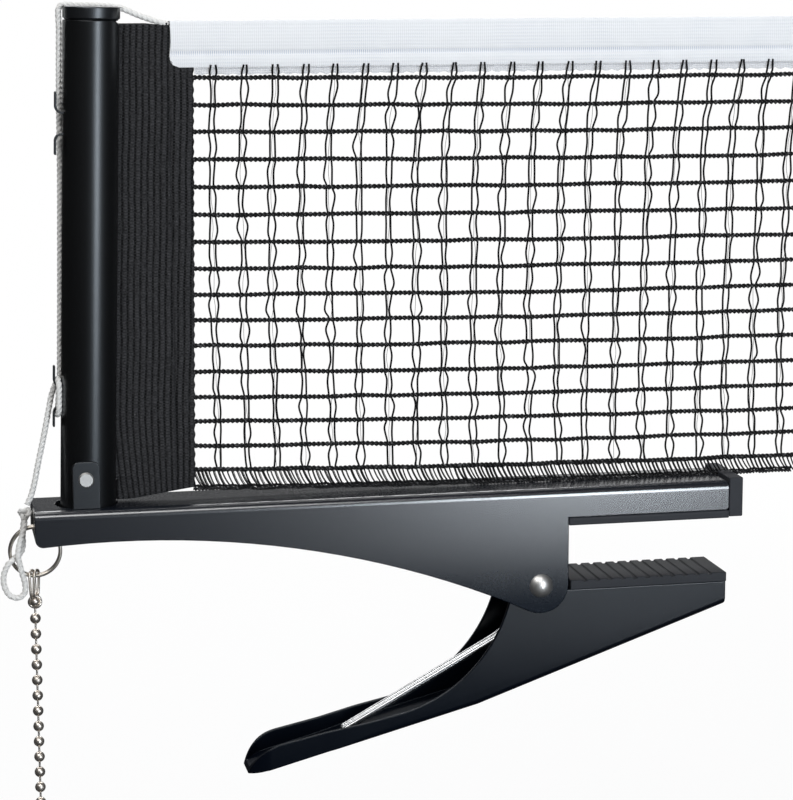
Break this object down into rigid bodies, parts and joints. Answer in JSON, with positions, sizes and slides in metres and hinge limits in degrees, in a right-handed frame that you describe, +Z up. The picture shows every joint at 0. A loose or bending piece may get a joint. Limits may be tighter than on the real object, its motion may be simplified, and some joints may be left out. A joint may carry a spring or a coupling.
{
  "type": "table tennis net clamp",
  "caption": "Spring-loaded table tennis net clamp: channel arm with padded jaws, slotted post, stretch of net with white tape, tension cord, split ring and bead chain.",
  "frame": {"origin": "centre of the upper jaw pad's underside, which rests on the table top", "axes": "+X along the arm towards the net and the table's middle, +Z up, +Y away from the viewer, across the net"},
  "size_m": [0.2619, 0.0278, 0.2896],
  "materials": {
    "black_steel": "satin black powder coat with a blue tint",
    "post_black": "semi-gloss black",
    "cap_black": "satin black plastic",
    "pad_grey": "dark grey plastic",
    "nickel": "polished nickel",
    "spring_steel": "bright spring wire",
    "bronze": "sintered bronze",
    "chain_metal": "dark nickel",
    "knit": "ribbed black knit",
    "net_cord": "black twisted cord",
    "tape_white": "woven white polyester",
    "cord_white": "white twisted cord"
  },
  "bodies": {
    "frame": {"arm_channel": "black_steel", "upper_jaw_pad": "pad_grey", "pivot_rivet": "nickel", "post_bracket": "black_steel", "foot_rivet": "nickel", "post_tube": "post_black", "post_cap": "cap_black", "upper_hooks": "post_black", "lower_hooks": "post_black", "net_rod": "nickel", "net_band": "knit", "net_mesh": "net_cord", "net_hem": "net_cord", "net_tape": "tape_white", "far_band": "knit", "far_rod": "nickel", "tension_cord": "cord_white", "cord_knot": "cord_white"},
    "lever": {"lever_channel": "black_steel", "lower_jaw_pad": "pad_grey", "pivot_bush": "bronze", "torsion_spring": "spring_steel"},
    "ring": {"split_ring": "nickel", "cord_tail": "cord_white"},
    "chain_top": {"chain_coupling": "chain_metal", "chain_upper": "chain_metal"},
    "chain_low": {"chain_lower": "chain_metal", "chain_end": "chain_metal"}
  },
  "joints": [
    {"name": "lever_hinge", "type": "hinge", "parent": "frame", "child": "lever", "pos_m": [-0.0341, 0, -0.0184], "axis": [0, 1, 0], "range_deg": [-10, 26], "stiffness_Nm_per_rad": 1.2, "deforming": ["torsion_spring"]},
    {"name": "ring_swing", "type": "hinge", "parent": "frame", "child": "ring", "pos_m": [-0.1858, 0, 0.0049], "axis": [1, 0, 0], "range_deg": [-32, 32], "deforming": ["cord_tail"]},
    {"name": "chain_swing", "type": "hinge", "parent": "ring", "child": "chain_top", "pos_m": [-0.1858, 0, -0.0025], "axis": [0, 1, 0], "range_deg": [-35, 10]},
    {"name": "chain_bend", "type": "hinge", "parent": "chain_top", "child": "chain_low", "pos_m": [-0.1863, 0, -0.061], "axis": [0, 1, 0], "range_deg": [-45, 45]}
  ]
}
